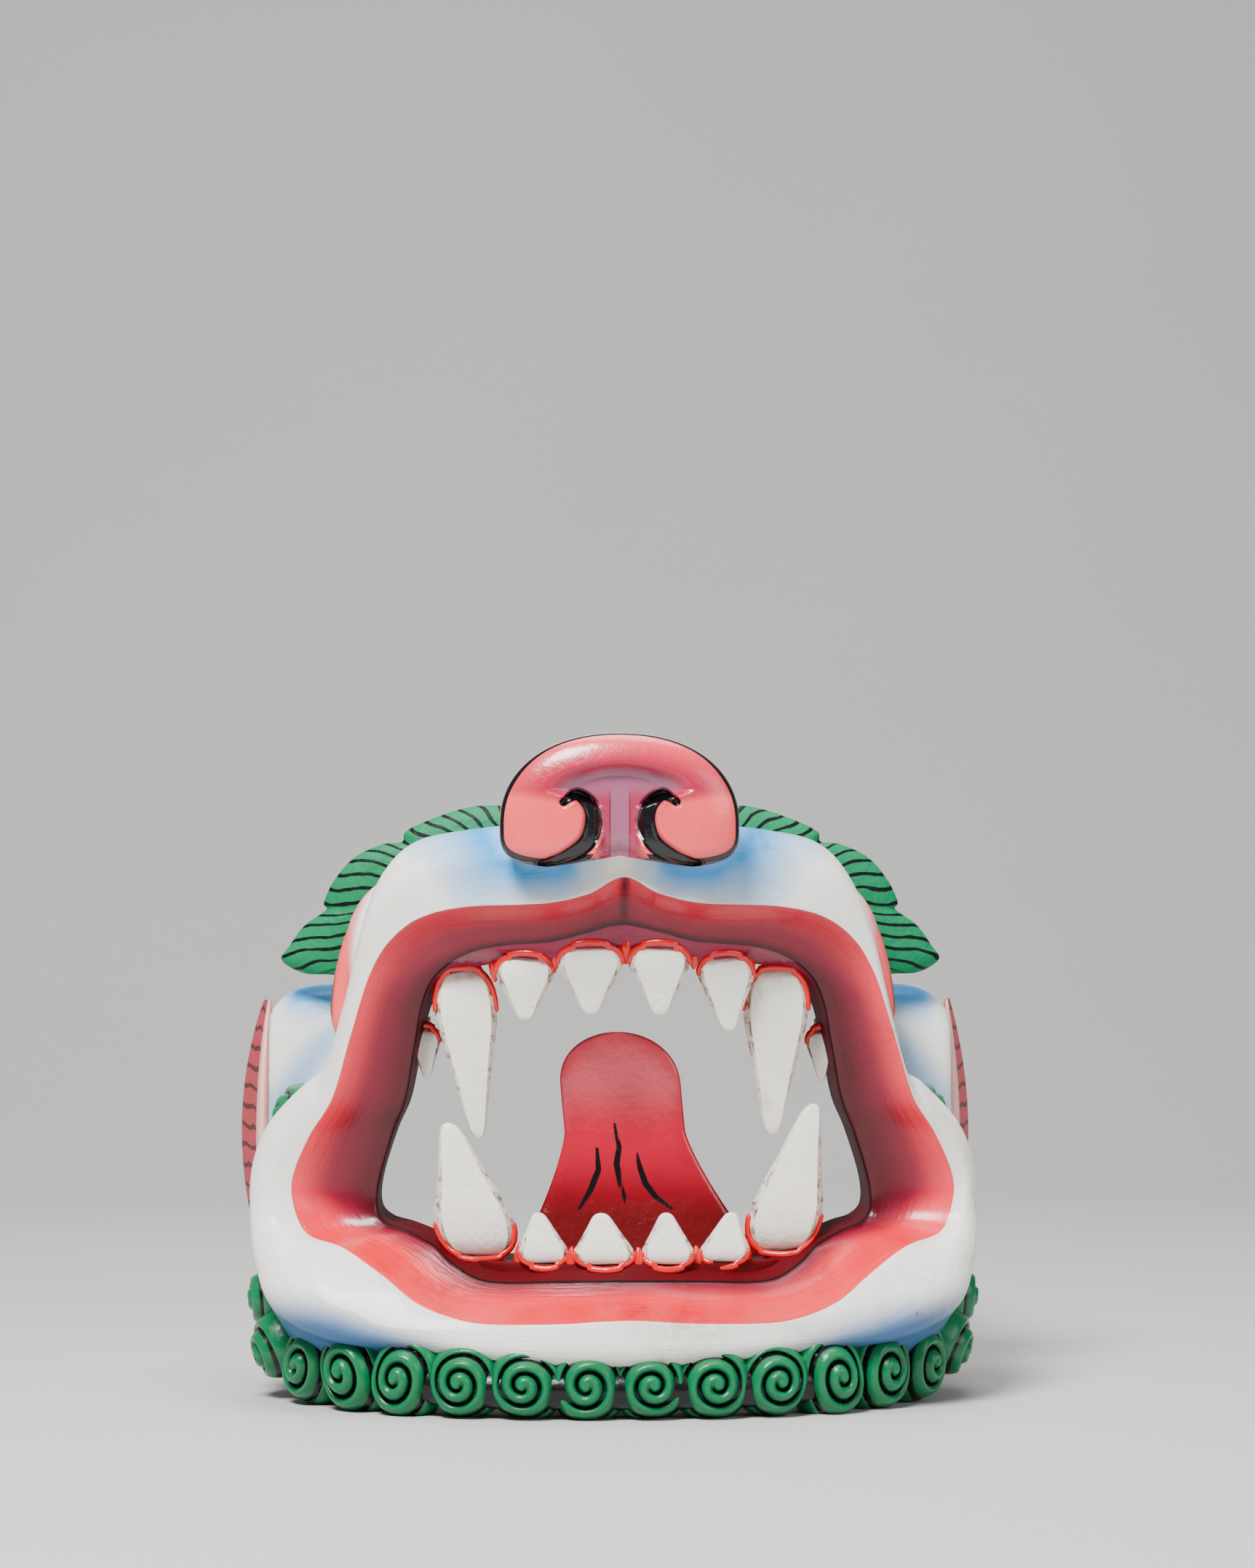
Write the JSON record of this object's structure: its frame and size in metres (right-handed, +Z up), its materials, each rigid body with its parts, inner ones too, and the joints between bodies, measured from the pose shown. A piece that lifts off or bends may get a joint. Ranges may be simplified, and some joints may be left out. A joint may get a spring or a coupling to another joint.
{
  "type": "foo dog mask",
  "caption": "Hollow carved and painted wooden lion-dog head mask with a wide open toothed mouth, upright tongue, rolled nose, brows, ears and a curled beard; open at the back.",
  "frame": {"origin": "on the floor, at the middle of the bounding box's base", "axes": "+Z up, -Y is the side the face looks to, +X towards the mask's right ear as the picture shows it"},
  "size_m": [0.4384, 0.3278, 0.378],
  "materials": {
    "white_paint": "worn glossy paint on carved wood",
    "tongue_red": "glossy paint on wood",
    "ear_pink": "satin paint on wood"
  },
  "bodies": {
    "root": {"mask_head": "white_paint", "tongue": "tongue_red", "ear_left": "ear_pink", "ear_right": "ear_pink"}
  },
  "joints": []
}
